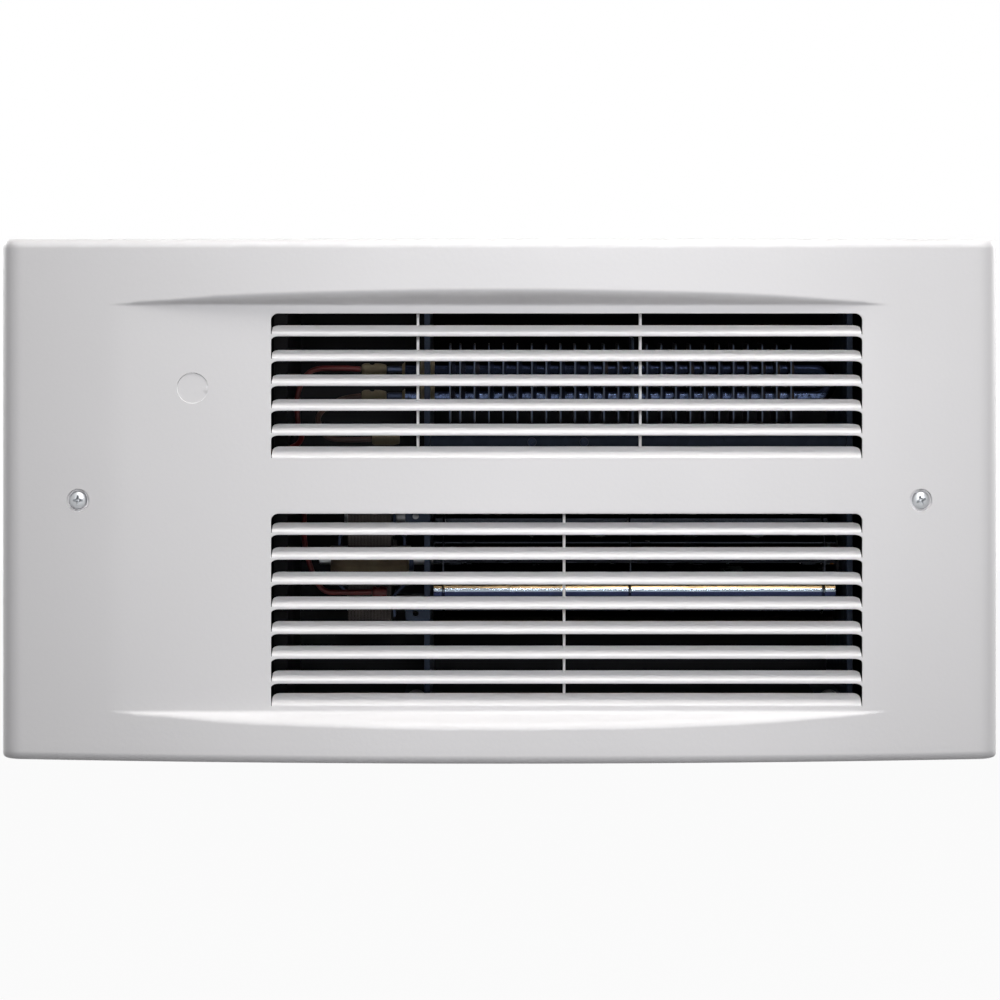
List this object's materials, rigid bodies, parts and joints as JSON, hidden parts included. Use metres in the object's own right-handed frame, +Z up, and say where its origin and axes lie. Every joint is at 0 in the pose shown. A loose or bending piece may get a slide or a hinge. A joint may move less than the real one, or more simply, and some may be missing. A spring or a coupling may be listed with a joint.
{
  "type": "recessed wall fan heater",
  "caption": "Recessed wall fan heater: a bowed, louvred steel cover over a wall can holding a crossflow blower, its motor and a finned heating element.",
  "frame": {"origin": "centre of the wall opening, on the face of the finished wall, level with the middle of the cover", "axes": "+X to the right as seen from the room, +Y into the wall, +Z up"},
  "size_m": [0.476, 0.136, 0.248],
  "materials": {
    "white_enamel": "fine-textured off-white powder coat, satin",
    "bright_zinc": "bright zinc plate",
    "galvanised_sheet": "galvanised sheet, dull",
    "black_sheet": "dark painted sheet, matt",
    "wheel_metal": "mill-finish blades",
    "element_steel": "blued steel fins on a sheath",
    "core_steel": "varnished laminations",
    "coil_tape": "woven insulating tape",
    "bronze": "sintered bronze, oiled",
    "black_rubber": "matt",
    "beige_insulator": "unglazed, matt",
    "dark_phenolic": "moulded, matt",
    "red_insulation": "wire covering",
    "brown_insulation": "wire covering",
    "black_insulation": "moulded"
  },
  "bodies": {
    "housing": {"front_cover": "white_enamel", "upper_louvre_comb_left": "white_enamel", "upper_louvre_comb_right": "white_enamel", "lower_louvre_comb": "white_enamel", "cover_screw_left": "bright_zinc", "cover_screw_right": "bright_zinc", "wall_can": "black_sheet", "cable_clamp": "bright_zinc", "cable_clamp_locknut": "bright_zinc", "left_end_plate": "galvanised_sheet", "right_end_plate": "galvanised_sheet", "wiring_divider": "black_sheet", "chassis_screw_left_front": "bright_zinc", "chassis_screw_left_rear": "bright_zinc", "chassis_screw_right_front": "bright_zinc", "chassis_screw_right_rear": "bright_zinc", "rear_scroll": "black_sheet", "dividing_baffle": "galvanised_sheet", "high_limit_switch": "dark_phenolic", "limit_screw_left": "bright_zinc", "limit_screw_right": "bright_zinc", "finned_element": "element_steel", "element_bush_lower": "beige_insulator", "element_bush_upper": "beige_insulator", "element_mid_bracket": "galvanised_sheet", "blower_bearing_sleeve": "bronze", "blower_bearing_grommet": "black_rubber", "motor_core": "core_steel", "motor_coil": "coil_tape", "motor_bearing_strap_left": "bright_zinc", "motor_bearing_strap_right": "bright_zinc", "motor_screw_upper": "bright_zinc", "motor_spacer_upper": "bright_zinc", "motor_screw_lower": "bright_zinc", "motor_spacer_lower": "bright_zinc", "element_crimp_upper": "beige_insulator", "element_crimp_lower": "beige_insulator", "lead_splice_front": "beige_insulator", "motor_lead_crimp": "red_insulation", "wire_nut_left": "red_insulation", "wire_nut_right": "black_insulation", "ground_screw": "bright_zinc", "lead_element_upper": "red_insulation", "lead_element_lower": "brown_insulation", "lead_motor_red": "red_insulation"},
    "blower": {"blower_wheel": "wheel_metal", "blower_stub_shaft": "bright_zinc", "motor_rotor_and_shaft": "bright_zinc"}
  },
  "joints": [
    {"name": "blower_spin", "type": "hinge", "parent": "housing", "child": "blower", "pos_m": [0.0638, 0.046, -0.0345], "axis": [1, 0, 0], "continuous": true}
  ]
}
